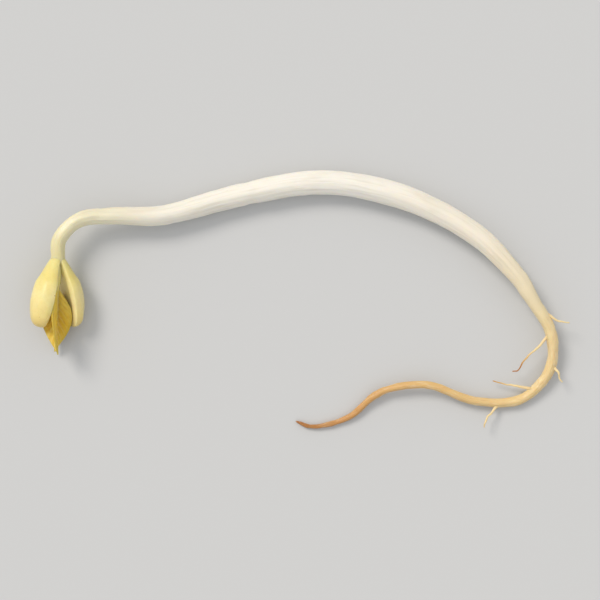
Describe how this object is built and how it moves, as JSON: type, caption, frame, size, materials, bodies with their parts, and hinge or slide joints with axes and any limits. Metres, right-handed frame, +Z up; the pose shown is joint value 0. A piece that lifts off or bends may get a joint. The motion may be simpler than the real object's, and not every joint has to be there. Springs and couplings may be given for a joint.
{
  "type": "mung bean sprout",
  "caption": "Single picked mung bean sprout lying on its side: long white stem, open halves of the bean with young leaves, and a thin curling root.",
  "frame": {"origin": "on the surface that the sprout lies on, under the middle of its bounding box", "axes": "+X along the sprout's longest side, from the cotyledons towards the root collar; +Z up from the surface"},
  "size_m": [0.0756, 0.0366, 0.0068],
  "materials": {
    "stem_tissue": "damp white sprout stem",
    "cotyledon_tissue": "smooth pale yellow bean half",
    "leaf_tissue": "thin golden yellow young leaf",
    "root_tissue": "cream root, tan towards its tip"
  },
  "bodies": {
    "root": {"hypocotyl": "stem_tissue", "epicotyl": "stem_tissue", "cotyledon_upper": "cotyledon_tissue", "cotyledon_lower": "cotyledon_tissue", "leaf_upper": "leaf_tissue", "leaf_lower": "leaf_tissue", "primary_root": "root_tissue", "side_root_1": "root_tissue", "side_root_2": "root_tissue", "side_root_3": "root_tissue", "side_root_4": "root_tissue", "side_root_5": "root_tissue"}
  },
  "joints": []
}
